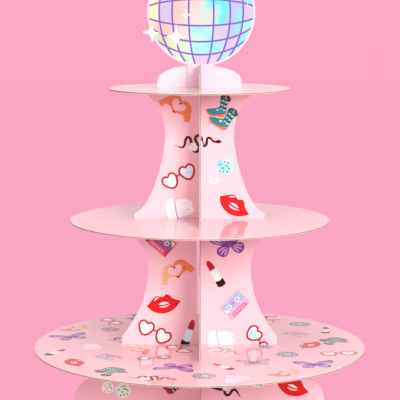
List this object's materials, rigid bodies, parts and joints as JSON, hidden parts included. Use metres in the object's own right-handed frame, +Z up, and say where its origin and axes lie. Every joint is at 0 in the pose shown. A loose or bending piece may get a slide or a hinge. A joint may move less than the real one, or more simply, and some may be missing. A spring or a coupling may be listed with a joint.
{
  "type": "cake stand",
  "caption": "Tiered flat-pack cake stand: round card plates on cross-shaped waisted supports of slotted board, with a flat mirror-ball card topper.",
  "frame": {"origin": "middle of the stand's footprint, on the table", "axes": "+Z up; +X to the right along the panels that run across; the ball card faces -Y"},
  "size_m": [0.3, 0.3, 0.4409],
  "materials": {
    "support_board": "pale pink printed board with a gloss laminate, cut edges of grey board with a white liner",
    "plate_board": "pale pink printed board with a gloss laminate, cut edges of grey board with a white liner",
    "foil_motifs": "printed party motifs with iridescent foil details",
    "ball_card": "white card with iridescent foil tiles and violet grid lines"
  },
  "bodies": {
    "base_panel_across": {"base_panel_across": "support_board"},
    "base_panel_front_back": {"base_panel_front_back": "support_board"},
    "bottom_plate": {"bottom_plate": "plate_board"},
    "middle_panel_across": {"middle_panel_across": "support_board"},
    "middle_panel_front_back": {"middle_panel_front_back": "support_board"},
    "middle_plate": {"middle_plate": "plate_board"},
    "top_panel_across": {"top_panel_across": "support_board"},
    "top_panel_front_back": {"top_panel_front_back": "support_board"},
    "top_plate": {"top_plate": "plate_board"},
    "topper": {"topper": "ball_card"}
  },
  "joints": [
    {"name": "base_panels_part", "type": "slide", "parent": "base_panel_across", "child": "base_panel_front_back", "axis": [0, 0, 1], "range_m": [0, 0.1]},
    {"name": "bottom_plate_lift", "type": "slide", "parent": "base_panel_front_back", "child": "bottom_plate", "axis": [0, 0, 1], "range_m": [0, 0.03]},
    {"name": "middle_support_lift", "type": "slide", "parent": "bottom_plate", "child": "middle_panel_across", "axis": [0, 0, 1], "range_m": [0, 0.03]},
    {"name": "middle_panels_part", "type": "slide", "parent": "middle_panel_across", "child": "middle_panel_front_back", "axis": [0, 0, 1], "range_m": [0, 0.13]},
    {"name": "middle_plate_lift", "type": "slide", "parent": "middle_panel_front_back", "child": "middle_plate", "axis": [0, 0, 1], "range_m": [0, 0.03]},
    {"name": "top_support_lift", "type": "slide", "parent": "middle_plate", "child": "top_panel_across", "axis": [0, 0, 1], "range_m": [0, 0.03]},
    {"name": "top_panels_part", "type": "slide", "parent": "top_panel_across", "child": "top_panel_front_back", "axis": [0, 0, 1], "range_m": [0, 0.155]},
    {"name": "top_plate_lift", "type": "slide", "parent": "top_panel_front_back", "child": "top_plate", "axis": [0, 0, 1], "range_m": [0, 0.04]},
    {"name": "topper_lift", "type": "slide", "parent": "top_plate", "child": "topper", "axis": [0, 0, 1], "range_m": [0, 0.04]}
  ]
}
